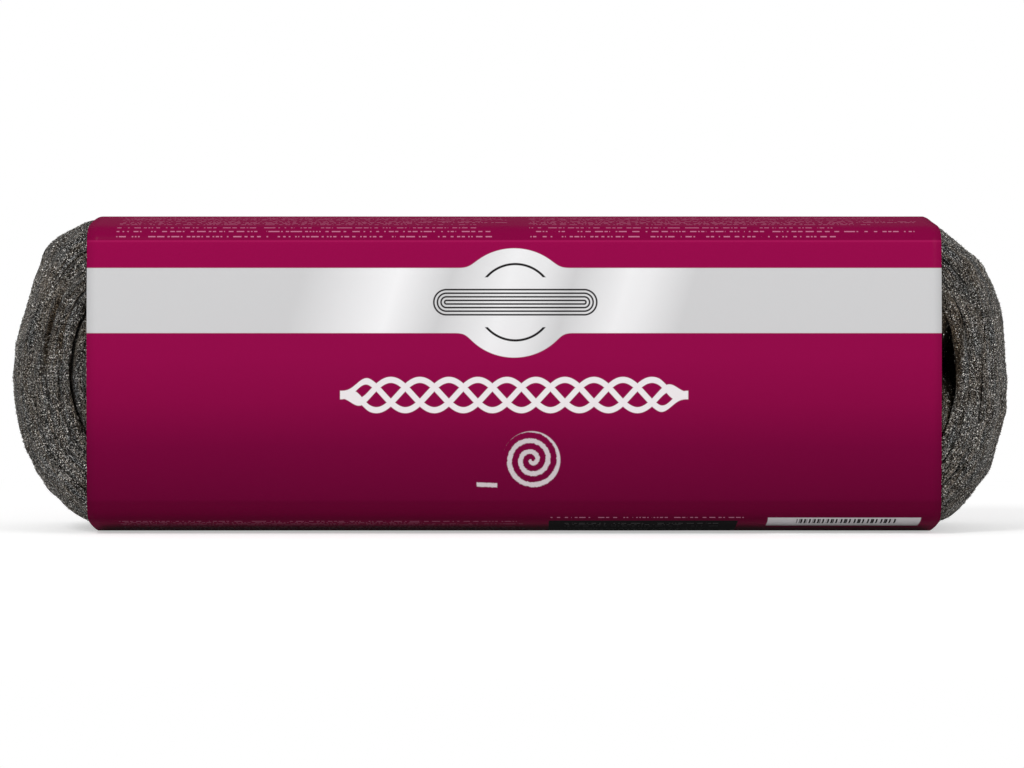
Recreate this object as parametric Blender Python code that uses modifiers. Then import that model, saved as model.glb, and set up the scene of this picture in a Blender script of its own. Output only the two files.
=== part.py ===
"""A hank of steel wool in a printed card sleeve, at its real size in metres.

X runs along the hank, the front panel faces -Y and Z is up. The origin is on the surface that the
sleeve rests on, under the middle of the whole object.
"""

import math

import bmesh
import bpy
from mathutils import Vector
from mathutils.geometry import intersect_sphere_sphere_2d

# The card sleeve: outer sizes, the radii of its bulged panels and of its folds, and the glued lap
sleeve_length = 0.226
sleeve_depth = 0.078
sleeve_height = 0.0862
sleeve_shift = 0.0012
face_radius = 0.70
side_radius = 0.139
fold_radius = 0.005
rest_flat = 0.034
card = 0.00045
lap_width = 0.018
lap_edge_height = 0.002
glue_line = 0.0001

# The wound hank: its length, the depth of its round ends, and how its turns lie at them
hank_length = 0.274
end_depth = 0.024
right_pitch = 0.0039
left_pitch = 0.0037
end_crown = 0.007
end_rounding = 0.004
turns = 6
turn_gap = 0.0006
outer_turns = 4
inner_half_height = 0.021
core_eye = 0.003
turns_before_eye = 3
eye_gap = 0.0055
eye_half_height = 0.010
turns_before_groove = 4
groove_gap = 0.0012
tail_step = 0.040
wool_clearance = 0.0003

# How far the corners of the ends lie inside an even curve: the wool is slack there
right_top_trim = 0.0027
left_top_trim = 0.0012
left_low_trim = 0.0030

# How finely the curves are cut, and how much flatter the ends of the inner turns are
fold_steps = 5
panel_steps = 8
end_steps = 14
cap_power = 1.3

half_depth = sleeve_depth / 2
half_height = sleeve_height / 2


def room_at(height):
    """Half the depth that the sleeve leaves for the wool, at a height from its middle."""
    drop = face_radius - math.sqrt(face_radius**2 - height**2)
    return half_depth - card - wool_clearance - drop


hank_half_width = room_at(half_height - fold_radius)
hank_half_height = half_height - card - wool_clearance
side_crown = side_radius - math.sqrt(side_radius**2 - hank_half_width**2)
lap = card + glue_line
middle = Vector((0, -lap / 2, half_height))

RIGHT, LEFT = 1, -1


def clear_scene():
    for obj in list(bpy.data.objects):
        bpy.data.objects.remove(obj, do_unlink=True)


def new_collection(name):
    collection = bpy.data.collections.new(name)
    bpy.context.scene.collection.children.link(collection)
    return collection


def new_material(name, color, roughness, metallic):
    material = bpy.data.materials.new(name)
    material.use_nodes = True
    shader = material.node_tree.nodes["Principled BSDF"]
    shader.inputs["Base Color"].default_value = (*color, 1.0)
    shader.inputs["Roughness"].default_value = roughness
    shader.inputs["Metallic"].default_value = metallic
    return material


def new_object(name, bm, collection, material):
    mesh = bpy.data.meshes.new(name)
    bm.to_mesh(mesh)
    bm.free()
    mesh.materials.append(material)
    obj = bpy.data.objects.new(name, mesh)
    collection.objects.link(obj)
    return obj


def arc(centre, radius, start, end, steps, lift=(0.0, 0.0)):
    """Points of an arc from one angle to another, its radius growing by the two lifts on the way."""
    points = []
    for i in range(steps + 1):
        share = i / steps
        angle = start + (end - start) * share
        reach = radius + lift[0] + (lift[1] - lift[0]) * share
        points.append(centre + reach * Vector((math.cos(angle), math.sin(angle))))
    return points


def turned_to(centre, point, before):
    """The angle of a point seen from a centre, as the next one met when turning clockwise."""
    offset = point - centre
    angle = math.atan2(offset.y, offset.x)
    while angle > before:
        angle -= 2 * math.pi
    return angle


def fold_centre(first, first_radius, second, second_radius, quadrant):
    """The centre of the fold that touches two bulged panels from inside, in the quadrant named."""
    found = intersect_sphere_sphere_2d(
        first, first_radius - fold_radius, second, second_radius - fold_radius
    )
    return max(found, key=lambda point: point.dot(Vector(quadrant)))


def wrap_line():
    """The card's outer face across the sleeve, in Y and in Z from mid height.

    It starts at the inner end of the lap on the back, and runs clockwise seen with +Y to the
    right: down the back, under the hank, up the front, over the top and down onto itself.
    """
    half_flat = rest_flat / 2
    back = Vector((half_depth - face_radius, 0))
    front = Vector((face_radius - half_depth, 0))
    top = Vector((0, half_height - side_radius))
    bottom = Vector((0, math.sqrt(side_radius**2 - half_flat**2) - half_height))
    low_back = fold_centre(back, face_radius, bottom, side_radius, (1, -1))
    low_front = fold_centre(front, face_radius, bottom, side_radius, (-1, -1))
    high_front = fold_centre(front, face_radius, top, side_radius, (-1, 1))
    high_back = fold_centre(back, face_radius, top, side_radius, (1, 1))

    lap_top = math.asin((lap_edge_height + lap_width) / face_radius)
    lap_bottom = math.asin(lap_edge_height / face_radius) - 2 * math.pi
    down = -math.pi / 2
    flat_turn = math.asin(half_flat / side_radius)
    at = [lap_top]
    for centre, fold in (
        (back, low_back),
        (bottom, low_back),
        (bottom, low_front),
        (front, low_front),
        (front, high_front),
        (top, high_front),
        (top, high_back),
        (back, high_back),
    ):
        at.append(turned_to(centre, fold, at[-1]))

    lap_start = lap_top - 2 * math.pi
    pieces = (
        arc(back, face_radius, lap_top, at[1], panel_steps),
        arc(low_back, fold_radius, at[1], at[2], fold_steps),
        arc(bottom, side_radius, at[2], down + flat_turn, panel_steps // 2),
        arc(bottom, side_radius, down - flat_turn, at[3], panel_steps // 2),
        arc(low_front, fold_radius, at[3], at[4], fold_steps),
        arc(front, face_radius, at[4], at[5], panel_steps),
        arc(high_front, fold_radius, at[5], at[6], fold_steps),
        arc(top, side_radius, at[6], at[7], panel_steps),
        arc(high_back, fold_radius, at[7], at[8], fold_steps),
        arc(back, face_radius, at[8], lap_start, panel_steps // 2, lift=(0.0, lap)),
        arc(back, face_radius, lap_start, lap_bottom, panel_steps // 2, lift=(lap, lap)),
    )
    line = []
    for piece in pieces:
        joined = line and (piece[0] - line[-1]).length < card / 10
        line += piece[1:] if joined else piece
    return line


def card_sleeve(collection):
    """The folded card strip, with its lap on the back."""
    bm = bmesh.new()
    start = sleeve_shift - sleeve_length / 2
    line = [bm.verts.new(middle + Vector((start, y, z))) for y, z in wrap_line()]
    edges = [bm.edges.new(pair) for pair in zip(line, line[1:])]
    swept = bmesh.ops.extrude_edge_only(bm, edges=edges)["geom"]
    ends = [item for item in swept if isinstance(item, bmesh.types.BMVert)]
    bmesh.ops.translate(bm, verts=ends, vec=(sleeve_length, 0, 0))
    bm.normal_update()
    for face in bm.faces:
        outward = face.calc_center_median() - middle
        outward.x = 0
        if face.normal.dot(outward) < 0:
            face.normal_flip()
    material = new_material("printed_card", (0.305, 0.007, 0.069), 0.42, 0.0)
    obj = new_object("card_sleeve", bm, collection, material)
    wall = obj.modifiers.new("wall", "SOLIDIFY")
    wall.thickness = card
    wall.offset = -1
    wall.use_even_offset = True
    obj.data.shade_smooth()
    obj.data.set_sharp_from_angle(angle=math.radians(30))
    return obj


def level_height(level):
    """Half the height of the hank at a depth counted in turns from its outer face."""
    if level < outer_turns:
        return hank_half_height + (inner_half_height - hank_half_height) * level / outer_turns
    share = (level - outer_turns) / (turns - outer_turns)
    return inner_half_height + (core_eye / 2 - inner_half_height) * share


def ramp(value, start, end):
    """0 up to the start, 1 from the end on, and even between them."""
    return min(1.0, max(0.0, (value - start) / (end - start)))


def end_trim(side, z):
    """How far an end lies inside its even curve, at a height from the middle."""
    share = z / hank_half_height
    if side == RIGHT:
        return right_top_trim * ramp(share, 0.6, 0.85)
    return left_top_trim * ramp(share, 0.02, 0.2) + left_low_trim * ramp(-share, 0.45, 0.95)


def end_reach(side, turn, level, z):
    """How far a level reaches at one end: the eye opens on the right, a deep groove on the left."""
    if side == RIGHT:
        eye = eye_gap * math.exp(-((z / eye_half_height) ** 2))
        extra = right_pitch * level + (eye if turn >= turns_before_eye else 0.0)
    else:
        extra = left_pitch * level + (groove_gap if turn >= turns_before_groove else 0.0)
    slack = end_trim(side, z) * max(0.0, 1 - level / turns)
    return hank_length / 2 - extra - slack


def wool_point(station, across, depth):
    """A point of the ribbon: across from -1 to 1 over its width, depth in turns from its outside."""
    turn, first_level, side, angle, run_x = station
    level = first_level + depth
    inward = math.cos(angle) if side else 0.0
    height = level_height(level)
    share = height / hank_half_height
    crowned = height - side_crown * across**2 * share
    cap = end_depth * share**cap_power * crowned / height
    z = crowned * math.sin(angle)
    shallow = max(0.0, 1 - level / turns_before_eye)
    half_width = room_at(z) - end_rounding * shallow**2 * inward
    x = run_x
    if side:
        reach = end_reach(side, turn, level, z) - end_crown * across**2
        x = side * (reach - cap + cap * inward)
    return middle + Vector((x, across * half_width, z))


def wound_path():
    """The stations of the ribbon from its tail on top to its inner end.

    Each is its turn, its level, the end that it is at (0 on a run), its angle and its x on a run.
    A turn steps down to the next one in the top run, inside the sleeve.
    """
    up = math.pi / 2
    path = [(0, 0, 0, up, 0.0)]
    for turn in range(turns):
        for i in range(end_steps + 1):
            path.append((turn, turn, RIGHT, up - math.pi * i / end_steps, 0.0))
        for i in range(end_steps + 1):
            path.append((turn, turn, LEFT, -up + math.pi * i / end_steps, 0.0))
        step_down = (0.0, 0.15, 0.85, 1.0) if turn < turns - 1 else (0.0,)
        for sunk, along in zip(step_down, (2.0, 1.7, 1.3, 1.0)):
            path.append((turn, turn + sunk, 0, up, -along * tail_step))
    return path


def ribbon_section():
    """The ribbon's rounded section: places across it, each with its depth as a share of a turn."""
    inside = 1 - turn_gap / right_pitch
    outer = [(-0.95, 0.10), (-0.8, 0.0), (-0.4, 0.0), (0.0, 0.0)]
    outer += [(-across, depth) for across, depth in reversed(outer[:3])]
    inner = [(across, inside - depth) for across, depth in reversed(outer)]
    return [(-1.0, inside / 2)] + outer + [(1.0, inside / 2)] + inner


def wool_hank(collection):
    """The ribbon wound flat: one loft through the stations of its path."""
    bm = bmesh.new()
    section = ribbon_section()
    rings = [
        [bm.verts.new(wool_point(station, across, depth)) for across, depth in section]
        for station in wound_path()
    ]
    count = len(section)
    for ring, following in zip(rings, rings[1:]):
        for i in range(count):
            j = (i + 1) % count
            bm.faces.new((ring[i], ring[j], following[j], following[i]))
    bm.faces.new(rings[0][::-1])
    bm.faces.new(rings[-1])
    bmesh.ops.recalc_face_normals(bm, faces=bm.faces)
    material = new_material("steel_wool", (0.075, 0.070, 0.063), 0.55, 0.7)
    obj = new_object("wool_hank", bm, collection, material)
    obj.data.shade_smooth()
    return obj


def main():
    clear_scene()
    collection = new_collection("steel_wool_pad")
    wool_hank(collection)
    card_sleeve(collection)


main()
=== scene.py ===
"""Looks of a steel wool hank in its printed card sleeve, with frayed wool at both ends."""

import math
from functools import reduce

import bpy
import numpy as np
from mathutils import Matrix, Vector
from mathutils.geometry import intersect_sphere_sphere_2d

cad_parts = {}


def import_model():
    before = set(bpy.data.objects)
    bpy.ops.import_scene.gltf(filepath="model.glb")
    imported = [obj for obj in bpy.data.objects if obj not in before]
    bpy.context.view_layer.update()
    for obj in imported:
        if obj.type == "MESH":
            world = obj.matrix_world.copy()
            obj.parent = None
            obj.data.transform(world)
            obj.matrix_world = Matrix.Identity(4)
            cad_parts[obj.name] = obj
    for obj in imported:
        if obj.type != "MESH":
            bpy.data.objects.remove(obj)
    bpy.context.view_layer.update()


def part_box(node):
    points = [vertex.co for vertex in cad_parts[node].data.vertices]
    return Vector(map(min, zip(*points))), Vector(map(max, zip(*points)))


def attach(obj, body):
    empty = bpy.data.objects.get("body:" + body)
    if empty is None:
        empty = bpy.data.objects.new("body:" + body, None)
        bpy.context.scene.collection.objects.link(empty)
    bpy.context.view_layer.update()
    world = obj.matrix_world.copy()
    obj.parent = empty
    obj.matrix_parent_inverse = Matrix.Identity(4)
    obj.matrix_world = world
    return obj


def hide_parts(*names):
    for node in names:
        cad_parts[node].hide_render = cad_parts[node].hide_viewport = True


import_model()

MM = 0.001
RIGHT, LEFT = 1, -1

# Sizes read from the frame, in metres
sleeve_low, sleeve_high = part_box("card_sleeve")
hank_low, hank_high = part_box("wool_hank")
sleeve_length = sleeve_high[0] - sleeve_low[0]
sleeve_middle = (sleeve_high[0] + sleeve_low[0]) / 2
sleeve_height = sleeve_high[2] - sleeve_low[2]
half_height = sleeve_height / 2
hank_length = hank_high[0] - hank_low[0]

# The card, as the CAD wraps it
card = 0.45 * MM
glue_line = 0.1 * MM
lap = card + glue_line
sleeve_depth = sleeve_high[1] - sleeve_low[1] - lap
half_depth = sleeve_depth / 2
face_radius = 700 * MM
side_radius = 139 * MM
fold_radius = 5 * MM
rest_flat = 34 * MM
lap_width = 18 * MM
lap_edge_height = 2 * MM
middle = Vector((0, -lap / 2, half_height))
fold_steps, panel_steps = 8, 24
back_steps, bottom_steps, lap_steps = 14, 6, 8

# What is added to the card: a slight pucker, less of it away from the front panel, and a slant
# at the top right. Both are placed round the sleeve from the middle of the front panel.
sheet_columns, sheet_rows = 76, 221
pucker_height = 0.16 * MM
pucker_scale = 26.0
pucker_elsewhere = 0.4
pucker_fade = (36 * MM, 30 * MM)
edge_slant = 1.1 * MM
slant_middle = 55 * MM
slant_fade = (20 * MM, 6 * MM)
slant_start = 0.42

# The wool, as the CAD winds it, but with closer turns on the left and a higher, smaller eye
end_depth = 24 * MM
end_pitch = {RIGHT: 3.9 * MM, LEFT: 3.35 * MM}
end_crown = 7 * MM
end_rounding = 4 * MM
turns = 6
turn_gap = 0.12
turns_before_eye = 3
eye_gap = 5.5 * MM
eye_middle = 2.5 * MM
eye_half_height = 8 * MM
turns_before_groove = 4
groove_gap = 0.7 * MM
tail_step = 40 * MM
cap_power = 1.3
end_steps, inner_end_steps = 104, 16

# What is added to the wool: room for its fibres at the card and at the ends, edges rounded over
# a share of the half width, and turns that swell and wander along the ribbon
wool_clearance = 0.6 * MM
tuft_room = 0.5 * MM
edge_round = 0.036
swell_share, swell_length = 0.10, 62 * MM
wander_depth, wander_length = 0.45 * MM, 47 * MM
crown_power, recess_power = 2.3, 8

# The photograph's camera: its distance from the front panel and one pixel's width there
image_width = 1024
pixel = 0.2642 * MM
camera_distance = 757 * MM
sensor = 36.0
axis_from_sleeve_middle = -0.57 * MM
axis_below_middle = 3.22 * MM


def srgb(red, green, blue):
    """A colour given in screen numbers of 0 to 255, as the linear values that a shader takes."""
    linear = []
    for channel in (red, green, blue):
        share = channel / 255
        linear.append(share / 12.92 if share <= 0.04045 else ((share + 0.055) / 1.055) ** 2.4)
    return (*linear, 1.0)


class Value:
    """An output socket that can stand in an expression, as in 1 - mask * 0.5."""

    def __init__(self, graph, socket):
        self.graph = graph
        self.socket = socket

    def __add__(self, other):
        return self.graph.math("ADD", self, other)

    def __sub__(self, other):
        return self.graph.math("SUBTRACT", self, other)

    def __rsub__(self, other):
        return self.graph.math("SUBTRACT", other, self)

    def __mul__(self, other):
        return self.graph.math("MULTIPLY", self, other)

    def __truediv__(self, other):
        return self.graph.math("DIVIDE", self, other)

    def __pow__(self, other):
        return self.graph.math("POWER", self, other)

    def __abs__(self):
        return self.graph.math("ABSOLUTE", self)

    __radd__ = __add__
    __rmul__ = __mul__


class Graph:
    """Makes the nodes of a shader or geometry tree."""

    def __init__(self, tree):
        self.tree = tree

    def node(self, kind, settings=(), inputs=(), out=0):
        """A node with its settings set first and then its inputs, given as values or as links."""
        made = self.tree.nodes.new(kind)
        for name, setting in dict(settings).items():
            setattr(made, name, setting)
        for key, value in dict(inputs).items():
            if isinstance(value, Value):
                self.tree.links.new(value.socket, made.inputs[key])
            else:
                made.inputs[key].default_value = value
        return Value(self, made.outputs[out]) if len(made.outputs) else made

    def math(self, operation, *values):
        return self.node("ShaderNodeMath", {"operation": operation}, enumerate(values))

    def least(self, a, b):
        return self.math("MINIMUM", a, b)

    def most(self, a, b):
        return self.math("MAXIMUM", a, b)

    def vector(self, operation, *values, out=0):
        settings = {"operation": operation}
        return self.node("ShaderNodeVectorMath", settings, enumerate(values), out)

    def scaled(self, vector, share):
        inputs = {"Vector": vector, "Scale": share}
        return self.node("ShaderNodeVectorMath", {"operation": "SCALE"}, inputs)

    def joined(self, x, y, z):
        return self.node("ShaderNodeCombineXYZ", inputs={"X": x, "Y": y, "Z": z})

    def parts(self, vector):
        split = self.node("ShaderNodeSeparateXYZ", inputs={"Vector": vector}).socket.node
        return [Value(self, output) for output in split.outputs]

    def between(self, value, low, high, to_low=0.0, to_high=1.0):
        """A smooth step from to_low, where the value is low, to to_high, where it is high."""
        settings = {"interpolation_type": "SMOOTHSTEP"}
        names = ("Value", "From Min", "From Max", "To Min", "To Max")
        values = (value, low, high, to_low, to_high)
        return self.node("ShaderNodeMapRange", settings, zip(names, values))

    def noise(self, vector, scale, detail=2.0, roughness=0.5, out="Fac"):
        inputs = {"Vector": vector, "Scale": scale, "Detail": detail, "Roughness": roughness}
        return self.node("ShaderNodeTexNoise", {}, inputs, out)

    def drawn(self, x, y, z):
        """A number from 0 to 1 drawn by lot for each place."""
        inputs = {"Vector": self.joined(x, y, z)}
        return self.node("ShaderNodeTexWhiteNoise", {}, inputs, "Value")

    def mixed(self, factor, a, b):
        """Colour a where the factor is 0 and colour b where it is 1."""
        settings = {"data_type": "RGBA"}
        return self.node("ShaderNodeMix", settings, {0: factor, 6: a, 7: b}, 2)

    def ramp(self, value, stops):
        """A colour ramp through (place, colour) stops."""
        made = self.node("ShaderNodeValToRGB", inputs={"Fac": value})
        elements = made.socket.node.color_ramp.elements
        while len(elements) < len(stops):
            elements.new(0.5)
        for element, (place, color) in zip(elements, stops):
            element.position = place
            element.color = color
        return made


def new_material(name):
    """A material with an emptied tree, and the graph that fills it."""
    material = bpy.data.materials.new(name)
    material.use_nodes = True
    material.node_tree.nodes.clear()
    return material, Graph(material.node_tree)


def principled(graph, **inputs):
    """Ends a material in one Principled BSDF. An underscore in a name stands for a space."""
    named = {name.replace("_", " "): value for name, value in inputs.items()}
    shader = graph.node("ShaderNodeBsdfPrincipled", inputs=named)
    graph.node("ShaderNodeOutputMaterial", inputs={"Surface": shader})


class GeometryTree(Graph):
    """A geometry node group with named inputs, from its first geometry to its last."""

    KINDS = {float: "NodeSocketFloat", int: "NodeSocketInt"}

    def __init__(self, name, **sizes):
        super().__init__(bpy.data.node_groups.new(name, "GeometryNodeTree"))
        face = self.tree.interface
        face.new_socket("Geometry", in_out="INPUT", socket_type="NodeSocketGeometry")
        self.sizes = sizes
        self.identifiers = {}
        for key, value in sizes.items():
            kind = self.KINDS[type(value)]
            socket = face.new_socket(key, in_out="INPUT", socket_type=kind)
            self.identifiers[key] = socket.identifier
        face.new_socket("Geometry", in_out="OUTPUT", socket_type="NodeSocketGeometry")
        start = self.tree.nodes.new("NodeGroupInput")
        self.start = {output.name: Value(self, output) for output in start.outputs if output.name}

    def __getitem__(self, name):
        return self.start[name]

    def attribute(self, name, kind="FLOAT"):
        settings = {"data_type": kind}
        return self.node("GeometryNodeInputNamedAttribute", settings, {"Name": name})

    def moved(self, geometry, offset):
        inputs = {"Geometry": geometry, "Offset": offset}
        return self.node("GeometryNodeSetPosition", {}, inputs)

    def finish(self, geometry, material):
        """Ends the tree in real faces that wear the material."""
        real = self.node("GeometryNodeRealizeInstances", inputs={"Geometry": geometry})
        dressed = {"Geometry": real, "Material": material}
        last = self.node("GeometryNodeSetMaterial", inputs=dressed)
        end = self.tree.nodes.new("NodeGroupOutput")
        self.tree.links.new(last.socket, end.inputs[0])

    def grow(self, name, source, **sizes):
        """Runs the tree on a mesh with its own sizes, and returns the result as a plain object."""
        carrier = bpy.data.objects.new(name + "_source", source)
        bpy.context.scene.collection.objects.link(carrier)
        modifier = carrier.modifiers.new("grow", "NODES")
        modifier.node_group = self.tree
        for key, value in {**self.sizes, **sizes}.items():
            modifier[self.identifiers[key]] = value
        evaluated = carrier.evaluated_get(bpy.context.evaluated_depsgraph_get())
        mesh = bpy.data.meshes.new_from_object(evaluated)
        bpy.data.objects.remove(carrier)
        if mesh.materials[0] is None:
            mesh.materials.pop(index=0)
        mesh.name = name
        return new_piece(name, mesh)


def new_piece(name, mesh):
    piece = bpy.data.objects.new(name, mesh)
    bpy.context.scene.collection.objects.link(piece)
    return piece


def mesh_of(name, points, faces, edges=()):
    mesh = bpy.data.meshes.new(name)
    mesh.from_pydata([tuple(point) for point in points], list(edges), faces)
    mesh.update()
    return mesh


# The card sleeve


def arc(centre, radius, start, end, steps, lift=(0.0, 0.0)):
    """Points of an arc from one angle to another, its radius grown by a lift at each end."""
    points = []
    for i in range(steps + 1):
        share = i / steps
        angle = start + (end - start) * share
        reach = radius + lift[0] + (lift[1] - lift[0]) * share
        points.append(centre + reach * Vector((math.cos(angle), math.sin(angle))))
    return points


def turned_to(centre, point, before):
    """The angle of a point seen from a centre, as the next one met when turning clockwise."""
    offset = point - centre
    angle = math.atan2(offset.y, offset.x)
    while angle > before:
        angle -= 2 * math.pi
    return angle


def fold_centre(first, first_radius, second, second_radius, quadrant):
    """The centre of the fold that touches two bulged panels from inside, in the quadrant named."""
    found = intersect_sphere_sphere_2d(
        first, first_radius - fold_radius, second, second_radius - fold_radius
    )
    return max(found, key=lambda point: point.dot(Vector(quadrant)))


def wrap_line():
    """The card's outer face across the sleeve, from the lap's inner end round to its outer end.

    Returns the points, and the place in the list where the front panel starts.
    """
    half_flat = rest_flat / 2
    back = Vector((half_depth - face_radius, 0))
    front = Vector((face_radius - half_depth, 0))
    top = Vector((0, half_height - side_radius))
    bottom = Vector((0, math.sqrt(side_radius**2 - half_flat**2) - half_height))
    low_back = fold_centre(back, face_radius, bottom, side_radius, (1, -1))
    low_front = fold_centre(front, face_radius, bottom, side_radius, (-1, -1))
    high_front = fold_centre(front, face_radius, top, side_radius, (-1, 1))
    high_back = fold_centre(back, face_radius, top, side_radius, (1, 1))
    lap_top = math.asin((lap_edge_height + lap_width) / face_radius)
    lap_bottom = math.asin(lap_edge_height / face_radius) - 2 * math.pi
    down = -math.pi / 2
    flat_turn = math.asin(half_flat / side_radius)
    at = [lap_top]
    for centre, fold in (
        (back, low_back),
        (bottom, low_back),
        (bottom, low_front),
        (front, low_front),
        (front, high_front),
        (top, high_front),
        (top, high_back),
        (back, high_back),
    ):
        at.append(turned_to(centre, fold, at[-1]))
    lap_start = lap_top - 2 * math.pi
    below = [
        arc(back, face_radius, lap_top, at[1], back_steps),
        arc(low_back, fold_radius, at[1], at[2], fold_steps),
        arc(bottom, side_radius, at[2], down + flat_turn, bottom_steps),
        arc(bottom, side_radius, down - flat_turn, at[3], bottom_steps),
        arc(low_front, fold_radius, at[3], at[4], fold_steps),
    ]
    above = [
        arc(front, face_radius, at[4], at[5], panel_steps),
        arc(high_front, fold_radius, at[5], at[6], fold_steps),
        arc(top, side_radius, at[6], at[7], panel_steps),
        arc(high_back, fold_radius, at[7], at[8], fold_steps),
        arc(back, face_radius, at[8], lap_start, lap_steps, lift=(0.0, lap)),
        arc(back, face_radius, lap_start, lap_bottom, lap_steps, lift=(lap, lap)),
    ]
    line = []
    for piece in below + above:
        if piece is above[0]:
            front_start = len(line) - 1
        joined = line and (piece[0] - line[-1]).length < card / 10
        line += piece[1:] if joined else piece
    return line, front_start


def sleeve_sheet():
    """The printed sheet by geometry nodes: a grid laid along the wrap line, slightly puckered."""
    line, front_start = wrap_line()
    lengths = [0.0]
    for before, after in zip(line, line[1:]):
        lengths.append(lengths[-1] + (after - before).length)
    front_angle = math.asin(line[front_start].y / face_radius)
    front_middle = lengths[front_start] - face_radius * front_angle
    guide = mesh_of(
        "wrap_line",
        [(sleeve_middle, y + middle.y, z + middle.z) for y, z in line],
        [],
        [(i, i + 1) for i in range(len(line) - 1)],
    )

    tree = GeometryTree(
        "sleeve sheet",
        Length=sleeve_length,
        Wrap=lengths[-1],
        Middle=front_middle,
        Columns=sheet_columns,
        Rows=sheet_rows,
        Pucker=pucker_height,
        Slant=edge_slant,
    )
    curve = tree.node("GeometryNodeMeshToCurve", inputs={"Mesh": tree["Geometry"]})
    grid_inputs = {"Size X": tree["Length"], "Size Y": 1.0}
    grid_inputs.update({"Vertices X": tree["Columns"], "Vertices Y": tree["Rows"]})
    grid = tree.node("GeometryNodeMeshGrid", inputs=grid_inputs)
    place = tree.node("GeometryNodeInputPosition")
    along, share, _ = tree.parts(place)
    share = share + 0.5
    sample = {"Curves": curve, "Factor": share}
    on_line = tree.node("GeometryNodeSampleCurve", {"mode": "FACTOR"}, sample, "Position")
    tangent = Value(tree, on_line.socket.node.outputs["Tangent"])
    outward = tree.vector("CROSS_PRODUCT", tangent, (1.0, 0.0, 0.0))
    wrapped = share * tree["Wrap"]
    spot = tree.joined(along, wrapped, 0.0)
    rough = tree.noise(spot, pucker_scale, 1.0) - 0.5
    on_front = tree.between(abs(wrapped - tree["Middle"]), *pucker_fade)
    height = rough * tree["Pucker"] * (pucker_elsewhere + on_front * (1 - pucker_elsewhere))
    lifted = tree.scaled(outward, height)
    off_top = abs(wrapped - tree["Middle"] - slant_middle)
    slanted = tree.between(off_top, *slant_fade) * tree["Slant"]
    drawn_in = slanted * tree.between(along, sleeve_length * slant_start, sleeve_length / 2)
    target = tree.vector("ADD", on_line, tree.joined(along - drawn_in, 0.0, 0.0))
    target = tree.vector("ADD", target, lifted)
    print_place = tree.joined(along, wrapped - tree["Middle"], 0.0)
    stored = tree.node(
        "GeometryNodeStoreNamedAttribute",
        {"data_type": "FLOAT2", "domain": "CORNER"},
        {"Geometry": grid, "Name": "print", "Value": print_place},
    )
    laid = {"Geometry": stored, "Position": target}
    tree.finish(tree.node("GeometryNodeSetPosition", inputs=laid), printed_card())
    return tree.grow("printed_sleeve", guide)


def printed_sleeve():
    """The sleeve: its printed sheet with the card's thickness, a grey inside and pale cut edges."""
    sleeve = sleeve_sheet()
    for board in (
        ("board_inside", 900.0, 3.0, srgb(158, 152, 144), srgb(178, 172, 164), 0.85),
        ("board_edge", 3200.0, 2.0, srgb(196, 184, 184), srgb(224, 215, 214), 0.9),
    ):
        sleeve.data.materials.append(bare_board(*board))
    sleeve.data.shade_smooth()
    wall = sleeve.modifiers.new("card", "SOLIDIFY")
    wall.thickness = card
    wall.offset = -1
    wall.use_even_offset = True
    wall.material_offset = 1
    wall.material_offset_rim = 2
    return sleeve


# The print, in millimetres from the middle of the front panel: u along the sleeve and v round it

panel_half_length = 113.0

# Blocks of small print: the middle of each, half its size, the pitch of its lines and its seed
small_print = (
    ((-53.6, 47.4), (51.7, 11.9), 1.65, 1.0),
    ((56.3, 47.4), (52.4, 11.9), 1.65, 2.0),
    ((-51.0, -49.5), (54.0, 11.0), 1.65, 3.0),
    ((35.4, -39.1), (26.0, 0.6), 1.65, 4.0),
)


def shape_mask(graph, distance, soft=0.12):
    """1 inside a shape and 0 outside, from the distance to its edge."""
    return graph.between(distance, soft, -soft)


def box_distance(graph, u, v, centre, half):
    across = abs(u - centre[0]) - half[0]
    up = abs(v - centre[1]) - half[1]
    return graph.most(across, up)


def disc_distance(graph, u, v, centre, radius):
    across = u - centre[0]
    up = v - centre[1]
    return graph.math("SQRT", across * across + up * up) - radius


def stadium_distance(graph, u, v, centre, half_length, radius):
    across = graph.most(abs(u - centre[0]) - half_length, 0.0)
    up = v - centre[1]
    return graph.math("SQRT", across * across + up * up) - radius


def magenta_and_painted_shading(graph, v):
    """The card's magenta, darker towards the bottom of the front. The darker top facet and the dark
    step just below the lower crease are painted shade, and the panel underneath is painted lighter
    to make up for the light it lacks.
    """
    low, high = -60.0, 60.0
    stops = (
        (-60.0, srgb(128, 7, 60)),
        (-46.0, srgb(126, 7, 59)),
        (-40.0, srgb(101, 5, 47)),
        (-34.4, srgb(93, 4, 43)),
        (-33.9, srgb(102, 5, 49)),
        (-20.0, srgb(116, 6, 57)),
        (-8.0, srgb(136, 9, 67)),
        (4.0, srgb(146, 11, 73)),
        (34.3, srgb(150, 11, 74)),
        (34.8, srgb(130, 7, 63)),
        (60.0, srgb(132, 8, 64)),
    )
    placed = [((v_mm - low) / (high - low), color) for v_mm, color in stops]
    return graph.ramp((v - low) / (high - low), placed)


def band_grey_and_sheen(graph, u, v):
    """The pale band's grey, with soft slanting sheens painted on the medallion and beside it."""
    stops = (
        (-panel_half_length, 208),
        (-58.0, 208),
        (-32.5, 245),
        (-18.5, 209),
        (-3.0, 241),
        (6.0, 232),
        (14.0, 208),
        (28.5, 241),
        (34.0, 236),
        (46.0, 208),
        (panel_half_length, 208),
    )
    half, length = panel_half_length, 2 * panel_half_length
    slanted = u - (v - 18.9) * 0.3
    placed = [((u_mm + half) / length, srgb(grey, grey, grey + 1)) for u_mm, grey in stops]
    return graph.ramp((slanted + half) / length, placed)


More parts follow.
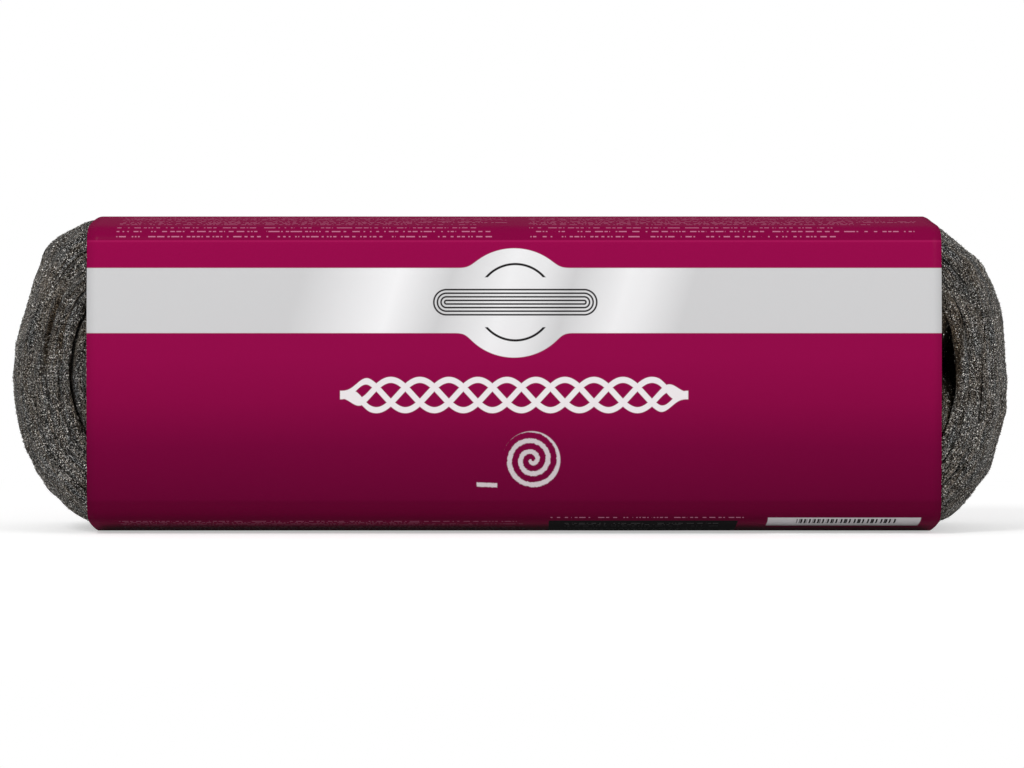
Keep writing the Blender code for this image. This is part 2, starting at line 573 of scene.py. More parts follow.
def rules_mask(graph, u, v, centre, half, pitch, seed):
    """A block of small print as thin rules, broken like words and ragged at the right."""
    letter, word = 0.42, 5.1
    row = (v - centre[1]) / pitch
    line = graph.math("FLOOR", row + 0.5)
    rule = graph.between(abs(row - line), 0.15, 0.05)
    stroke = graph.drawn(graph.math("FLOOR", u / letter), line, seed)
    shift = graph.drawn(seed, line, 0.0)
    worded = graph.math("GREATER_THAN", graph.math("FRACT", u / word + shift * 7.0), 0.16)
    spaced = graph.math("GREATER_THAN", graph.math("FRACT", line * 0.2 + 0.9), 0.19)
    kept = graph.math("GREATER_THAN", stroke, 0.38) * worded * spaced
    ragged = shift * shift * shift * 16.0
    across = abs(u - centre[0] + ragged) - half[0] + ragged
    inside = shape_mask(graph, graph.most(across, abs(v - centre[1]) - half[1]))
    return inside * rule * kept


def printed_card():
    """The card's printed face."""
    material, graph = new_material("card_print")
    place = graph.node("ShaderNodeUVMap", {"uv_map": "print"})
    u, v, _ = graph.parts(place)
    u = u * (1 / MM)
    v = v * (1 / MM)

    color = magenta_and_painted_shading(graph, v)
    color = graph.mixed(label_mask(graph, u, v), color, band_grey_and_sheen(graph, u, v))
    color = graph.mixed(coil_mask(graph, u, v), color, srgb(28, 24, 26))
    color = graph.mixed(braid_mask(graph, u, v), color, srgb(238, 233, 235))
    color = graph.mixed(swirl_mask(graph, u, v), color, srgb(205, 196, 200))
    small = sum(rules_mask(graph, u, v, *block) for block in small_print)
    color = graph.mixed(small * 0.5, color, srgb(236, 160, 194))
    color = underside_panels(graph, u, v, color)
    # A painted highlight along the top crease.
    top_crease_highlight = graph.between(abs(v - 34.6), 0.4, 0.1)
    color = graph.mixed(top_crease_highlight * 0.85, color, srgb(166, 24, 86))

    spot = graph.node("ShaderNodeTexCoord", out="Object")
    grain = graph.noise(spot, 2600.0, 3.0)
    bump = {"Height": grain, "Strength": 0.05, "Distance": 0.00008}
    normal = graph.node("ShaderNodeBump", inputs=bump)
    principled(
        graph,
        Base_Color=color,
        Roughness=graph.between(grain, 0.2, 0.8, 0.42, 0.50),
        Specular_IOR_Level=0.0,
        Coat_Weight=0.03,
        Coat_Roughness=0.22,
        Normal=normal,
    )
    return material


def label_mask(graph, u, v):
    """A pale band right across the front panel, melted into a medallion in its middle."""
    band = abs(v - 18.85) - 8.62
    medallion = disc_distance(graph, u * 0.935, v, (0.0, 18.22), 14.45)
    label = graph.math("SMOOTH_MIN", band, medallion, 2.6)
    return shape_mask(graph, label) * graph.between(abs(v), 33.2, 33.0)


def coil_mask(graph, u, v):
    """A flat coil drawn in thin lines, between two thin arcs."""
    centre = (0.3, 18.4)
    gap, half_line = 0.95, 0.22
    coil = stadium_distance(graph, u, v, centre, 18.2, 0.0)
    rings = abs(graph.math("PINGPONG", coil, gap) - gap / 2) - half_line
    rings = graph.most(rings, coil - 3.9)
    arcs = abs(disc_distance(graph, u, v, centre, 10.1)) - 0.30
    arcs = graph.most(arcs, 6.6 - abs(v - centre[1]))
    return shape_mask(graph, graph.least(rings, arcs))


def braid_mask(graph, u, v):
    """Three pale strands that cross in a braid, tapering at both ends."""
    half_length, wave_length, swing, half_line = 46.0, 23.0, 4.0, 0.80
    taper = graph.between(abs(u), half_length, half_length - 8.0)
    strands = []
    for strand in range(3):
        angle = u * (2 * math.pi / wave_length) + 2 * math.pi * strand / 3
        slope = graph.math("COSINE", angle)
        steep = graph.math("SQRT", slope * slope * 0.97 + 1.0)
        wave = graph.math("SINE", angle) * swing * taper
        strands.append(abs(v + 6.13 - wave) / steep - half_line)
    braid = reduce(graph.least, strands)
    return shape_mask(graph, graph.most(braid, abs(u) - half_length))


def swirl_mask(graph, u, v):
    """A round swirl drawn with a dry brush, and a short stroke beside it."""
    pitch, half_line, radius = 2.9, 0.62, 7.6
    across = u - 4.6
    up = v + 23.3
    away = graph.math("SQRT", across * across + up * up)
    angle = graph.math("ARCTAN2", up, across) / (2 * math.pi)
    arm = abs(graph.math("FRACT", away / pitch - angle) - 0.5) * pitch
    worn = graph.noise(graph.joined(u, v, 0.0), 1.3, 4.0, 0.6) - 0.5
    swirl = graph.most(arm + worn * 0.8 - half_line, away - radius)
    stroke = box_distance(graph, u, v + u * 0.04, (-7.2, -30.2), (2.7, 0.55)) + worn * 0.4
    return shape_mask(graph, graph.least(swirl, stroke), 0.16)


def underside_panels(graph, u, v, color):
    """The dark field and the pale field with plain bars, on the panel underneath."""
    dark = shape_mask(graph, box_distance(graph, u, v, (34.3, -52.0), (25.1, 11.3)))
    color = graph.mixed(dark, color, srgb(24, 20, 22))
    faint = rules_mask(graph, u, v, (34.3, -52.5), (21.0, 9.0), 2.2, 5.0)
    color = graph.mixed(faint * 0.30, color, srgb(200, 196, 198))
    pale = shape_mask(graph, box_distance(graph, u, v, (87.6, -43.1), (20.3, 3.95)))
    color = graph.mixed(pale, color, srgb(214, 212, 214))
    beat = graph.math("SINE", u * 5.3) + graph.math("SINE", u * 8.9) * 0.8
    bars = graph.most(beat * -0.3, box_distance(graph, u, v, (88.3, -41.6), (13.3, 1.9)))
    return graph.mixed(shape_mask(graph, bars), color, srgb(30, 26, 28))


def bare_board(name, scale, detail, dark, pale, roughness):
    """Unprinted card, mottled between two greys."""
    material, graph = new_material(name)
    spot = graph.node("ShaderNodeTexCoord", out="Object")
    color = graph.ramp(graph.noise(spot, scale, detail), ((0.3, dark), (0.7, pale)))
    principled(graph, Base_Color=color, Roughness=roughness, Specular_IOR_Level=0.2)
    return material


# The wool


def room_at(height):
    """Half the depth that the sleeve leaves for the wool, at heights from its middle."""
    drop = face_radius - np.sqrt(face_radius**2 - height**2)
    return half_depth - card - wool_clearance - drop


hank_half_height = half_height - card - wool_clearance
hank_half_width = room_at(half_height - fold_radius)
side_crown = side_radius - math.sqrt(side_radius**2 - hank_half_width**2)

# Half heights of the turns, from the outer face to the eye in the middle
level_heights = ((0, hank_half_height), (4, 22.5 * MM), (6, 1.5 * MM))

# Small steps in the outline: the end, the height from the middle, how far out, how wide, in mm
outline_steps = (
    (LEFT, 34.0, 1.7, 3.4),
    (LEFT, 7.5, 0.5, 3.5),
    (LEFT, -27.0, 0.8, 2.6),
    (LEFT, -31.5, 0.6, 2.0),
    (LEFT, 20.0, -0.5, 5.0),
    (RIGHT, 30.0, 0.8, 3.2),
    (RIGHT, -2.0, 0.4, 3.0),
    (RIGHT, -10.0, 0.5, 2.6),
    (RIGHT, -26.0, 0.7, 3.0),
    (RIGHT, 14.0, -0.4, 5.0),
)

# How far the ends lie inside an even curve, in mm, at heights from the middle in mm
end_trims = {
    LEFT: (
        (-43.0, 3.4),
        (-37.0, 2.1),
        (-28.0, 1.9),
        (-21.0, 0.4),
        (-10.0, 0.3),
        (0.0, 0.3),
        (4.0, 1.0),
        (10.0, 1.4),
        (20.0, 1.1),
        (30.0, 1.0),
        (43.0, 1.0),
    ),
    RIGHT: (
        (-43.0, 0.2),
        (-26.0, 0.3),
        (-14.0, -0.1),
        (0.0, 0.6),
        (8.0, 0.3),
        (14.0, -0.3),
        (24.0, -0.3),
        (28.0, 0.3),
        (32.0, 1.5),
        (36.0, 2.5),
        (43.0, 2.7),
    ),
}


def wound_path():
    """The ribbon's stations from its tail on top to its inner end, as rows of numbers.

    Each is its turn, its level, the end that it is at (0 on a run), its angle and its x on a run.
    """
    up = math.pi / 2
    mouth = sleeve_length / 2 - 9 * MM
    path = [(0, 0, 0, up, 0.0), (0, 0, 0, up, mouth)]
    for turn in range(turns):
        steps = end_steps if turn <= turns_before_groove else inner_end_steps
        for side in (RIGHT, LEFT):
            for i in range(steps + 1):
                path.append((turn, turn, side, side * (up - math.pi * i / steps), 0.0))
            if turn == 0:
                below = -side * up
                path.append((turn, turn, 0, below, side * mouth))
                if side == RIGHT:
                    path.append((turn, turn, 0, below, -mouth))
        path.append((turn, turn, 0, up, -2 * tail_step))
        if turn < turns - 1:
            path.append((turn, turn + 0.15, 0, up, -1.7 * tail_step))
            path.append((turn, turn + 0.85, 0, up, -1.3 * tail_step))
            path.append((turn, turn + 1, 0, up, -tail_step))
    return np.array(path, float)


def ribbon_section():
    """Places round the ribbon's section: across it, its depth as a share of a turn, and its bend.

    The bend is 0 on the faces and runs from 0 to pi round the edges.
    """
    flat = 1 - edge_round
    bends = [math.pi * i / 12 for i in range(1, 12)]
    outer = [(across, 0.0, 0.0) for across in np.linspace(-flat, flat, 40)]
    edge = [(1.0, 0.5, bend) for bend in bends]
    inner = [(across, 1.0, 0.0) for across in np.linspace(flat, -flat, 8)]
    other_edge = [(-1.0, 0.5, math.pi - bend) for bend in bends]
    return np.array(outer + edge + inner + other_edge)


def near(value, centre, width):
    """A soft bump: 1 at the centre, falling away over the width."""
    return np.exp(-(((value - centre) / width) ** 2))


def total_where(*terms):
    """The sum of amounts, each of them counted only where its mask holds."""
    return sum(np.where(mask, amount, 0) for mask, amount in terms)


def edge_relief(turn, side, z, front, share):
    """How far a turn's edge lies back, how far it is merged with the next turn, and how much shade
    is painted on it.

    The share is the depth within the turn, 0 on its outer face and 1 on its inner one.
    """
    left, right = side == LEFT, side == RIGHT
    left_front, right_front = left & front, right & front
    in_eye_turns = right & (turn >= turns_before_eye)
    upper_end = np.where(right, 21 * MM, 29 * MM)
    above = np.clip((z + 3 * MM) / (7 * MM), 0, 1) * np.clip((upper_end - z) / (7 * MM), 0, 1)
    inner_part = np.clip((share - 0.3) / 0.4, 0, 1)
    ledge = near(z, 11 * MM, 12 * MM) * inner_part
    in_eye = near(z, eye_middle, 9 * MM)

    back = total_where(
        (True, 0.3 * near(turn, 0, 0.5) * near(z, 0, 30 * MM)),
        (left_front & (turn == 1), 2.6 * ledge - 0.3),
        (left_front & (turn == 2), 0.9 * near(z, 13 * MM, 7 * MM) - 0.2),
        (left_front & (turn == 3), 0.7 * inner_part),
        (left_front & (turn == 4), 1.5),
        (right_front & (turn == 1), 0.7 * above * inner_part),
        (in_eye_turns, 0.2 + 1.6 * in_eye),
        (right_front & (turn == 2), 1.3 * in_eye * inner_part),
        (~front & (turn == 2), 1.4 * above * inner_part),
        (~front & (turn == 4), 2.0),
    )

    merged = np.where(turn == 0, 1.0, 0.9)
    for mask, amount in (
        (left_front & (turn == 1), 1 - 0.5 * above),
        (left_front & (turn == 2), 1.0),
        (left & (turn == 3), 1 - 0.7 * inner_part),
        (left & (turn == 4), 0.7),
        (right & (turn == 1), 1 - 0.5 * above),
        (right & (turn == 2), 1 - 0.8 * inner_part * near(z, 0, 15 * MM)),
    ):
        merged = np.where(mask, amount, merged)

    # The shade painted on the rims: in the grooves and ledges, in the eye, and high up under the
    # card.
    dark = total_where(
        (left_front & (turn == 1), 0.65 * ledge),
        (left_front & (turn == 3), 0.45 * np.clip((share - 0.6) / 0.4, 0, 1)),
        (left_front & (turn == 4), 0.15),
        (left_front & (turn == 0), 0.3 * near(z, 3 * MM, 6 * MM) * inner_part),
        (left_front & (turn == 2), 0.45 * near(z, 9 * MM, 8 * MM) * inner_part),
        (right_front & (turn == 1), 0.25 * above * inner_part),
        (right_front & (turn == 2), 0.8 * in_eye * inner_part),
        (in_eye_turns, 0.3 + 0.5 * in_eye),
        (front & (turn <= 2), 0.22 * near(z, 26 * MM, 14 * MM)),
        (right_front & (turn == 2), 0.25 * near(z, 14 * MM, 9 * MM)),
    )
    return back * MM, merged, dark


def slow_wave(along, turn, seed, length):
    """A smooth wander between about -1 and 1 along the ribbon, unlike from turn to turn."""
    total = 0
    for k, rate in enumerate((1.0, 1.73, 2.9)):
        phase = seed * 1.7 + k * 2.1 + turn * (2.39 + k)
        total = total + np.sin(2 * math.pi * along * rate / length + phase) / (k + 1)
    return total / 1.5


def edge_places(path, section):
    """The turn, end, height, front side and depth share of each point, for edge_relief."""
    turn, first_level, side, angle, _ = (column[:, None] for column in path.T)
    across, depth, bend = section.T[:, None, :]
    z = np.interp(first_level + depth, *zip(*level_heights)) * np.sin(angle)
    share = np.where(bend > 0, (1 - np.cos(bend)) / 2, depth)
    return turn, side, z, across < 0, share


def ribbon_points(path, section, along):
    """The points of the wound ribbon, one row for each station and one column for each place."""
    turn, first_level, side, angle, run_x = (column[:, None] for column in path.T)
    across, depth, bend = section.T[:, None, :]
    at_end = side != 0
    inward = np.where(at_end, np.cos(angle), 0).clip(0)
    levels, heights = zip(*level_heights)
    back, merged, _ = edge_relief(*edge_places(path, section))
    merged = np.where(at_end, merged, 1.0)

    inside = 1 - turn_gap * (1 - merged)
    round_depth = inside * (1 - np.cos(bend)) / 2
    flat_depth = inside * bend / math.pi
    edge_depth = round_depth + (flat_depth - round_depth) * merged
    depth = np.where(bend > 0, edge_depth, depth * inside)
    rounding = edge_round * (1 - 0.9 * merged)
    edge_across = 1 - rounding * (1 - np.sin(bend) ** 0.6)
    across = np.sign(across) * np.where(bend > 0, edge_across, np.abs(across))

    swell = swell_share * slow_wave(along[:, None], turn, 3, swell_length)
    thick = 1 + swell * (1 - merged) + 0.05 * merged
    level = first_level + np.where(turn == 0, depth, depth * thick)
    height = np.interp(level, levels, heights)
    share = np.maximum(height / hank_half_height, 0.02)
    crowned = height - side_crown * across**2 * share
    cap = end_depth * share**cap_power * crowned / height
    z = crowned * np.sin(angle)
    shallow = np.clip(1 - level / turns_before_eye, 0, 1)
    wander = wander_depth * slow_wave(along[:, None], turn, 1, wander_length)
    recess = (back + wander) * np.sqrt(inward) * np.abs(across) ** recess_power
    half_width = room_at(z) - end_rounding * shallow**2 * inward - recess
    opens_after = np.where(side == RIGHT, turns_before_eye, turns_before_groove)
    opening = np.where(side == RIGHT, eye_gap * near(z, eye_middle, eye_half_height), groove_gap)
    extra = np.where(turn >= opens_after, opening, 0)
    pitch = np.where(side == RIGHT, end_pitch[RIGHT], end_pitch[LEFT])
    reach = hank_length / 2 - tuft_room - pitch * level - extra
    reach = reach - end_crown * np.abs(across) ** crown_power
    for step_side, step_z, step_out, step_width in outline_steps:
        bump = near(z, step_z * MM, step_width * MM) * step_out * MM
        reach = reach + np.where(side == step_side, bump, 0) * np.clip(1 - level, 0, 1)
    for trim_side, trims in end_trims.items():
        trim = np.interp(z / MM, *zip(*trims)) * MM * np.clip(1 - level / 5, 0, 1)
        reach = reach - np.where(side == trim_side, trim, 0)
    x = np.where(at_end, side * (reach - cap + cap * inward), run_x)
    points = np.stack(np.broadcast_arrays(x, across * half_width, z), axis=-1)
    return points + np.array(middle)


def ribbon_mesh():
    """The wound ribbon as one closed mesh, with where each point lies on it kept as attributes."""
    path = wound_path()
    section = ribbon_section()
    core = ribbon_points(path, np.array([[0.0, 0.0, 0.0]]), np.zeros(len(path)))[:, 0]
    steps = np.linalg.norm(np.diff(core, axis=0), axis=1)
    along = np.concatenate([[0.0], np.cumsum(steps)])
    points = ribbon_points(path, section, along)
    rows, columns = points.shape[:2]
    index = np.arange(rows * columns).reshape(rows, columns)
    nxt = np.roll(index, -1, axis=1)
    quads = np.stack([index[:-1], nxt[:-1], nxt[1:], index[1:]], axis=-1).reshape(-1, 4)
    faces = quads.tolist() + [index[0, ::-1].tolist(), index[-1].tolist()]
    mesh = mesh_of("wool_ribbon", points.reshape(-1, 3).tolist(), faces)

    turn, side = path[:, 0, None], path[:, 2, None]
    across, depth, bend = section.T[:, None, :]
    outside = (turn == 0) & (depth == 0)
    rim = bend > 0
    eye = (side == RIGHT) & (turn == turns_before_eye - 1) & (depth == 1)
    eye = eye | ((side == RIGHT) & (turn == turns_before_eye) & (depth == 0))
    seen_at = np.maximum(outside | rim, eye * 1.2)
    # The eye's inner faces and the shaded rims get painted shade, kept as an attribute.
    dark = edge_relief(*edge_places(path, section))[2] * rim
    out = np.abs(points[..., 0] - sleeve_middle) - sleeve_length / 2
    values = {
        "along": along[:, None],
        "across": across,
        "level": turn + np.where(rim, (1 - np.cos(bend)) / 2, depth),
        "showing": seen_at * np.clip(out / (2 * MM) + 1.5, 0, 1),
        "rim": rim,
        "painted_shade": np.maximum(eye, dark),
    }
    for name, field in values.items():
        full = np.broadcast_to(field, (rows, columns)).astype(np.float32)
        layer = mesh.attributes.new(name, "FLOAT", "POINT")
        layer.data.foreach_set("value", full.ravel())
    winding = np.gradient(points, axis=0).astype(np.float32)
    layer = mesh.attributes.new("winding", "FLOAT_VECTOR", "POINT")
    layer.data.foreach_set("vector", (winding * 1000).ravel())
    return mesh


def held_in(tree, geometry):
    """Keeps the wool inside the card where the sleeve covers it, and off the ground."""
    x, y, z = tree.parts(tree.node("GeometryNodeInputPosition"))
    y = y - middle.y
    z = z - middle.z
    kept_off = card + 0.15 * MM
    covered = tree.math("LESS_THAN", abs(x - sleeve_middle), sleeve_length / 2 + 0.3 * MM)
    room = half_depth - kept_off - z * z / (2 * face_radius)
    headroom = half_height - kept_off - y * y / (2 * side_radius)
    over_y = tree.most(abs(y) - room, 0.0) * tree.math("SIGN", y) * covered
    over_z = tree.most(abs(z) - headroom, 0.0) * tree.math("SIGN", z) * covered
    sunk = tree.least(z + middle.z - over_z - 0.1 * MM, 0.0)
    pull = tree.joined(0.0, over_y * -1.0, over_z * -1.0 - sunk)
    return tree.moved(geometry, pull)


def stretched(graph, ribbon, scales):
    """A place for a noise that has its own scale along, across and through the ribbon."""
    return graph.joined(*(place * scale for place, scale in zip(ribbon, scales)))


def wool_tree(material):
    """Geometry nodes that give the ribbon its lumps, plies and folds, and furrows as it winds."""
    sizes = {"Lump": 0.9 * MM, "Ply": 0.9 * MM, "Fold": 1.8 * MM, "Furrow": 0.9 * MM}
    tree = GeometryTree("wool relief", **sizes)
    ribbon = [tree.attribute(name) for name in ("along", "across", "level")]
    lumps = tree.noise(tree.node("GeometryNodeInputPosition"), 130.0, 2.0) - 0.5
    plies = tree.noise(stretched(tree, ribbon, (40.0, 2.0, 1.7)), 1.6, 2.0, 0.6) - 0.5
    folds = tree.noise(stretched(tree, ribbon, (22.0, 4.2, 0.4)), 1.0, 2.0) - 0.56
    furrows = tree.noise(stretched(tree, ribbon, (30.0, 11.0, 0.8)), 1.0, 1.0) - 0.56
    on_rim = tree.attribute("rim")
    on_face = 1 - on_rim
    height = lumps * tree["Lump"] + plies * tree["Ply"]
    height = height + (folds * tree["Fold"] + furrows * tree["Furrow"]) * on_face
    height = height * tree.attribute("showing")
    outward = tree.scaled(tree.node("GeometryNodeInputNormal"), height)
    # The relief is kept to paint light on the ridges and shade in the furrows, and to set the
    # fibres' density.
    relief = (folds + furrows) * on_face + (plies * 1.3 - 0.05) * on_rim
    kept = tree.node(
        "GeometryNodeStoreNamedAttribute",
        {"data_type": "FLOAT", "domain": "POINT"},
        {"Geometry": tree["Geometry"], "Name": "relief", "Value": relief},
    )
    tree.finish(held_in(tree, tree.moved(kept, outward)), material)
    return tree


def fibre_tree(material):
    """Geometry nodes that lay curled, three-sided fibres over the wool that shows."""
    tree = GeometryTree(
        "wool fibres",
        OnFaces=190000.0,
        OnRims=1150000.0,
        Seed=1,
        Points=4,
        Length=3.0 * MM,
        Thickness=0.07 * MM,
        Lift=0.12 * MM,
        Curl=1.1 * MM,
        Tilt=0.16,
        Stray=math.pi,
    )
    on_rim = tree.attribute("rim")
    off_middle = tree.between(abs(tree.attribute("across")), 0.35, 0.60)
    on_faces = tree["OnFaces"] * (1 - on_rim) * (1 + off_middle * 1.6)
    density = (on_faces + tree["OnRims"] * on_rim) * tree.attribute("showing")
    # Fewer fibres where shade is painted, so that it shows.
    density = density * (1 - tree.attribute("painted_shade") * 0.55)
    density = density * tree.between(tree.attribute("relief"), -0.35, -0.02, 0.40, 1.10)
    points = tree.node(
        "GeometryNodeDistributePointsOnFaces",
        {"distribute_method": "RANDOM"},
        {"Mesh": tree["Geometry"], "Density": density, "Seed": tree["Seed"]},
        "Points",
    )
    facing = Value(tree, points.socket.node.outputs["Rotation"])
    laid = tree.node(
        "FunctionNodeAlignRotationToVector",
        {"axis": "X", "pivot_axis": "Z"},
        {"Rotation": facing, "Vector": tree.attribute("winding", "FLOAT_VECTOR")},
    )
    half = tree["Length"] * 0.5
    line = tree.node(
        "GeometryNodeCurveQuadraticBezier",
        {},
        {
            "Resolution": 6,
            "Start": tree.joined(half * -1.0, 0.0, 0.0),
            "Middle": tree.joined(0.0, half * 0.5, tree["Lift"] * 2.0),
            "End": tree.joined(half, 0.0, 0.0),
        },
    )
    line = tree.node("GeometryNodeResampleCurve", {}, {"Curve": line, "Count": tree["Points"]})
    ring_inputs = {"Resolution": 3, "Radius": tree["Thickness"]}
    ring = tree.node("GeometryNodeCurvePrimitiveCircle", {}, ring_inputs)
    tube_inputs = {"Curve": line, "Profile Curve": ring, "Fill Caps": True}
    fibre = tree.node("GeometryNodeCurveToMesh", {}, tube_inputs)
    high = tree.joined(tree["Tilt"], tree["Tilt"], tree["Stray"])
    turn_inputs = {0: tree.scaled(high, -1.0), 1: high, 8: tree["Seed"]}
    turn = tree.node("FunctionNodeRandomValue", {"data_type": "FLOAT_VECTOR"}, turn_inputs)
    turned = tree.node(
        "FunctionNodeRotateRotation",
        {"rotation_space": "LOCAL"},
        {"Rotation": laid, "Rotate By": turn},
    )
    size_inputs = {2: 0.45, 3: 1.25, 8: 7}
    size = tree.node("FunctionNodeRandomValue", {"data_type": "FLOAT"}, size_inputs, 1)
    scattered_inputs = {"Points": points, "Instance": fibre, "Rotation": turned}
    scattered_inputs["Scale"] = tree.joined(size, size, 1.0)
    scattered = tree.node("GeometryNodeInstanceOnPoints", inputs=scattered_inputs)
    real = tree.node("GeometryNodeRealizeInstances", inputs={"Geometry": scattered})
    place = tree.node("GeometryNodeInputPosition")
    swirl = tree.noise(place, 420.0, 2.0, 0.5, "Color")
    bent = tree.scaled(tree.vector("SUBTRACT", swirl, (0.5, 0.5, 0.5)), tree["Curl"])
    tree.finish(held_in(tree, tree.moved(real, bent)), material)
    return tree


def wool_mass_material():
    """The mass of wool: dark tangled steel, its grain painted with shade in the voids and light on
    the fibres, with painted glints.
    """
    material, graph = new_material("steel_wool_mass")
    spot = graph.node("ShaderNodeTexCoord", out="Object")
    tangle = graph.noise(spot, 4400.0, 1.0, 0.6)
    patches = graph.noise(spot, 160.0, 2.0)
    stops = (
        (0.36, (0.003, 0.003, 0.003, 1)),
        (0.50, (0.014, 0.013, 0.012, 1)),
        (0.60, (0.080, 0.075, 0.067, 1)),
        (0.70, (0.420, 0.400, 0.370, 1)),
    )
    *ribbon, relief, painted_shade = (
        graph.node("ShaderNodeAttribute", {"attribute_name": name}, {}, "Fac")
        for name in ("along", "across", "level", "relief", "painted_shade")
    )
    streaks = graph.noise(stretched(graph, ribbon, (110.0, 42.0, 2.8)), 1.0, 3.0, 0.6) - 0.5
    # Painted light and shade from the relief, with patches and streaks that vary the tone.
    lit = (patches - 0.5) * 0.08 + streaks * 0.24 + relief * 0.20
    fibres = graph.ramp(tangle + lit, stops)
    glint = graph.between(graph.noise(spot, 4600.0, 1.0), 0.64, 0.67)
    color = graph.mixed(glint * 0.9, fibres, (0.95, 0.93, 0.89, 1))
    hues = graph.noise(stretched(graph, ribbon, (70.0, 22.0, 3.1)), 1.0, 2.0)
    hue = graph.between(hues, 0.36, 0.64)
    tint = graph.mixed(hue, (0.94, 0.99, 1.05, 1), (1.09, 0.99, 0.89, 1))
    # Painted shade in the eye and the grooves: a warmer tint, then nearly black, and more metallic.
    tint = graph.mixed(graph.between(painted_shade, 0.15, 0.6), tint, (1.22, 0.98, 0.74, 1))
    color = graph.vector("MULTIPLY", color, tint)
    color = graph.mixed(painted_shade * 0.88, color, (0.010, 0.008, 0.006, 1))
    bump = {"Height": tangle + streaks * 2.0, "Strength": 1.0, "Distance": 0.0004}
    principled(
        graph,
        Base_Color=color,
        Metallic=0.55 + painted_shade * 0.4,
        Specular_IOR_Level=0.25,
        Specular_Tint=(0.25, 0.24, 0.22, 1),
        Roughness=graph.between(tangle, 0.3, 0.7, 0.75, 0.50),
        Normal=graph.node("ShaderNodeBump", inputs=bump),
    )
    return material


def fibre_material(name, color, roughness):
    """One batch of loose fibres: bare steel of one brightness; the darkest batch stands in for
    shade and the brightest for glints.
    """
    material, graph = new_material(name)
    principled(graph, Base_Color=color, Metallic=0.9, Specular_Tint=color, Roughness=roughness)
    return material


def wool_pieces():
    """The wound mass and four batches of loose fibres over it.

    A batch gives its colour and roughness, the points on a fibre, its length and thickness in mm,
    how far it strays and tilts from the winding, and its share of the usual density.
    """
    mass = wool_tree(wool_mass_material()).grow("wool_mass", ribbon_mesh())
    mass.data.shade_smooth()
    # The darkest batch is painted shade and the brightest painted glints; brown and grey are the
    # wool's own tones.
    batches = (
        ("fibres_painted_shade", (0.014, 0.012, 0.010, 1), 0.50, (4, 1.7, 0.06, 0.5, 0.16), 0.85),
        ("fibres_brown", (0.125, 0.096, 0.069, 1), 0.45, (3, 1.0, 0.045, 0.9, 0.75), 1.25),
        ("fibres_grey", (0.120, 0.117, 0.111, 1), 0.38, (2, 0.4, 0.055, 1.0, 0.16), 2.2),
        ("fibres_painted_glints", (0.980, 0.950, 0.900, 1), 0.30, (2, 0.22, 0.10, 1.6, 0.16), 1.9),
    )
    fibres = []
    for seed, (name, color, roughness, sizes, share) in enumerate(batches, 1):
        tree = fibre_tree(fibre_material(name, color, roughness))
        points, length, thickness, stray, tilt = sizes
        fibre = tree.grow(
            name,
            mass.data,
            Seed=seed,
            Points=points,
            Length=length * MM,
            Thickness=thickness * MM,
            Stray=stray,
            Tilt=tilt,
            OnRims=share * tree.sizes["OnRims"],
            OnFaces=share * tree.sizes["OnFaces"],
        )
        fibres.append(fibre)
    return mass, fibres


# The studio


def either_ray(graph):
    """1 for rays from the camera and for mirrored or refracted ones, which see the background."""
    path = graph.node("ShaderNodeLightPath").socket.node
    total = Value(graph, path.outputs["Is Camera Ray"])
    total = graph.most(total, Value(graph, path.outputs["Is Glossy Ray"]))
    return graph.most(total, Value(graph, path.outputs["Is Transmission Ray"]))


def floor_material():
    """White floor that keeps the object's shadow and fades to the plain background further out."""
    material, graph = new_material("studio_floor")
    spot = graph.node("ShaderNodeTexCoord", out="Object")
    away = graph.vector("LENGTH", spot, out="Value")
    far = graph.between(away, 0.22, 0.42)
    plain = graph.node("ShaderNodeBsdfDiffuse", inputs={"Color": (0.80, 0.80, 0.80, 1)})
    seen = either_ray(graph)
    glow = graph.node("ShaderNodeEmission", inputs={"Strength": seen * 0.46})
    lit = graph.node("ShaderNodeAddShader", inputs={0: plain, 1: glow})
    white = graph.node("ShaderNodeEmission", inputs={"Strength": 1.0})
    mixed = graph.node("ShaderNodeMixShader", inputs={0: far * seen, 1: lit, 2: white})
    graph.node("ShaderNodeOutputMaterial", inputs={"Surface": mixed})
    return material


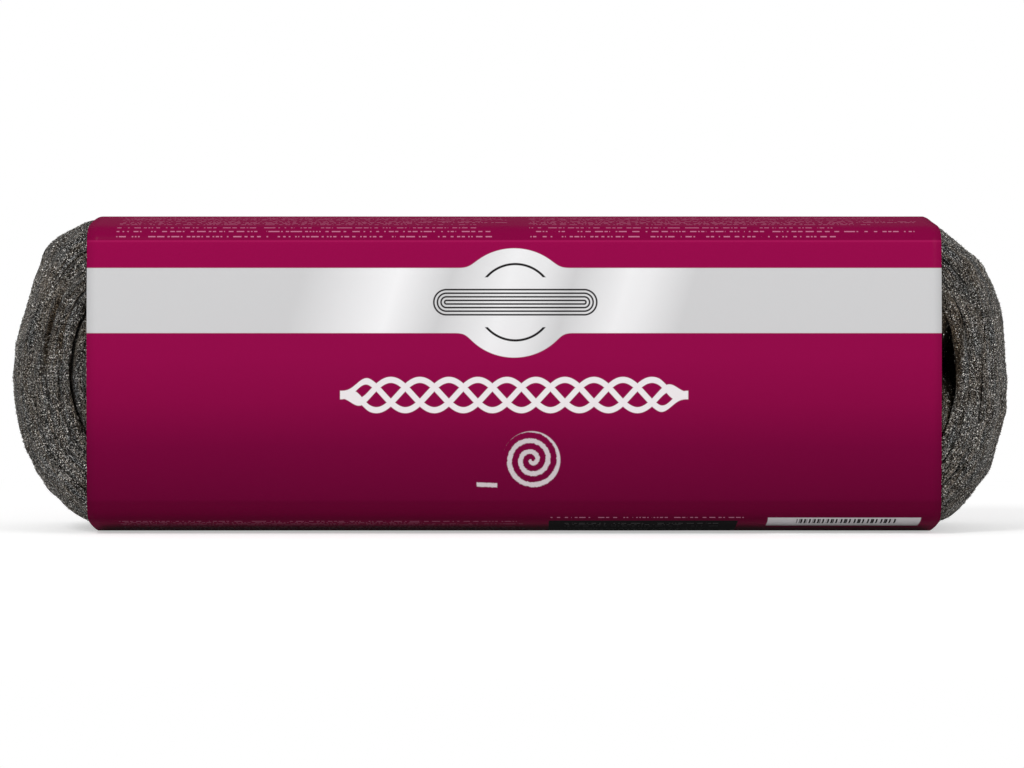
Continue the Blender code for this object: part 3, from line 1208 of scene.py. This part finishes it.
def studio_floor():
    size = 3.0
    corners = [(-size, -size, 0), (size, -size, 0), (size, size, 0), (-size, size, 0)]
    floor = new_piece("studio_floor", mesh_of("studio_floor", corners, [(0, 1, 2, 3)]))
    floor.data.materials.append(floor_material())


def world():
    """A plain white surrounding, seen at full strength and lighting at half of it."""
    made = bpy.data.worlds.new("studio")
    made.use_nodes = True
    made.node_tree.nodes.clear()
    graph = Graph(made.node_tree)
    strength = graph.between(either_ray(graph), 0.0, 1.0, 0.50, 1.0)
    sky_inputs = {"Color": (1, 1, 1, 1), "Strength": strength}
    sky = graph.node("ShaderNodeBackground", inputs=sky_inputs)
    graph.node("ShaderNodeOutputWorld", inputs={"Surface": sky})
    bpy.context.scene.world = made


def lamp(name, place, size, power):
    """A round lamp aimed at the middle of the object."""
    data = bpy.data.lights.new(name, "AREA")
    data.shape = "DISK"
    data.size = size
    data.energy = power
    lit = bpy.data.objects.new(name, data)
    lit.location = place
    lit.rotation_euler = (middle - lit.location).to_track_quat("-Z", "Y").to_euler()
    bpy.context.scene.collection.objects.link(lit)


def camera():
    """The photograph's camera, level and square to the front panel."""
    data = bpy.data.cameras.new("camera")
    data.sensor_width = sensor
    data.lens = sensor * camera_distance / (image_width * pixel)
    data.clip_start = 0.01
    seen_from = bpy.data.objects.new("camera", data)
    seen_from.location = (
        sleeve_middle + axis_from_sleeve_middle,
        sleeve_low[1] - camera_distance,
        middle.z - axis_below_middle,
    )
    seen_from.rotation_euler = (math.pi / 2, 0, 0)
    bpy.context.scene.collection.objects.link(seen_from)
    bpy.context.scene.camera = seen_from


def main():
    scene = bpy.context.scene
    scene.view_settings.view_transform = "Standard"
    camera()
    world()
    lamp("key", Vector((-0.55, -1.0, 0.85)), 0.45, 7.2)
    lamp("fill", Vector((0.85, -0.8, 0.45)), 0.6, 3.2)
    studio_floor()

    sleeve = printed_sleeve()
    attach(sleeve, "root")
    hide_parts("card_sleeve")

    mass, fibres = wool_pieces()
    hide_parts("wool_hank")
    for piece in [mass, *fibres]:
        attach(piece, "root")


main()
